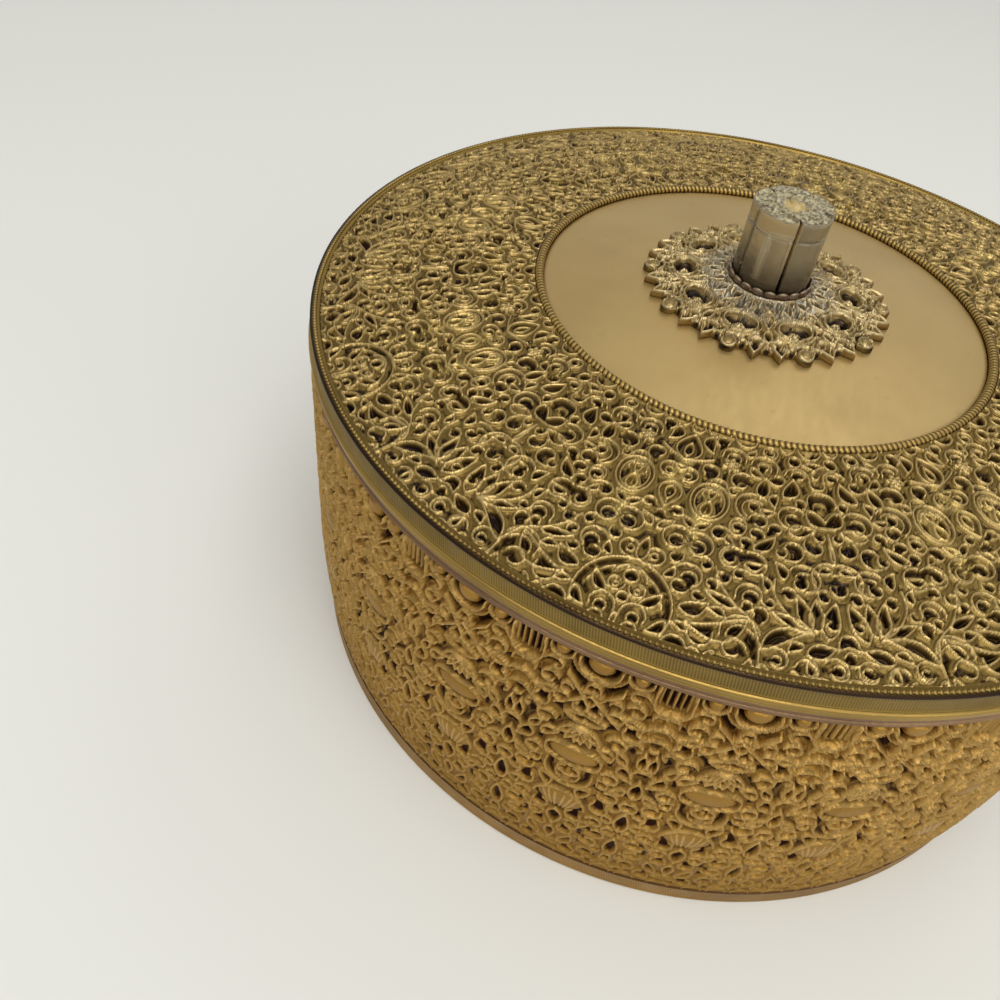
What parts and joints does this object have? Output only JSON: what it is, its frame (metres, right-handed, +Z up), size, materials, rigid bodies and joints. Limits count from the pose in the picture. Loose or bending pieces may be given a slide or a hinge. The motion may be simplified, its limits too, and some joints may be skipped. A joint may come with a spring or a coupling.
{
  "type": "vanity box",
  "caption": "Round gilt metal vanity box with embossed scrollwork, a lift-off domed lid and a clear fluted knob on a pierced rosette.",
  "frame": {"origin": "centre of the flat underside, on the surface that the box stands on", "axes": "+Z up along the axis of the round box; -Y is the side nearest to the camera"},
  "size_m": [0.181, 0.181, 0.1044],
  "materials": {
    "gilt_wall": "satin gilt, worn",
    "gilt_lid": "satin gilt, dark in the hollows",
    "gilt_band": "gilt, finely ribbed",
    "satin_gilt": "brushed satin gilt",
    "gilt_rosette": "gilt, worn grey near the knob",
    "worn_lip": "gilt worn to copper",
    "plain_brass": "plain lacquered brass",
    "dark_bronze": "dark, tarnished",
    "clear_acrylic": "clear, polished",
    "lining_cloth": "satin cloth on card",
    "felt": "pressed felt"
  },
  "bodies": {
    "box": {"base_band": "gilt_band", "base_felt": "felt", "bottom_plate": "plain_brass", "wall_shell": "gilt_wall", "body_lip": "worn_lip", "inner_sleeve": "plain_brass", "side_lining": "lining_cloth", "floor_pad": "lining_cloth"},
    "lid": {"lower_bead": "gilt_band", "rim_band": "gilt_band", "pearl_row": "gilt_lid", "lid_pan": "plain_brass", "filigree_ring": "gilt_lid", "rope_ring": "gilt_lid", "centre_disc": "satin_gilt", "lid_lining": "lining_cloth", "rosette": "gilt_rosette", "knob_cup": "dark_bronze", "knob": "clear_acrylic", "knob_washer": "plain_brass", "knob_screw": "plain_brass"}
  },
  "joints": [
    {"name": "lid_lift", "type": "slide", "parent": "box", "child": "lid", "axis": [0, 0, 1], "range_m": [0, 0.06]}
  ]
}
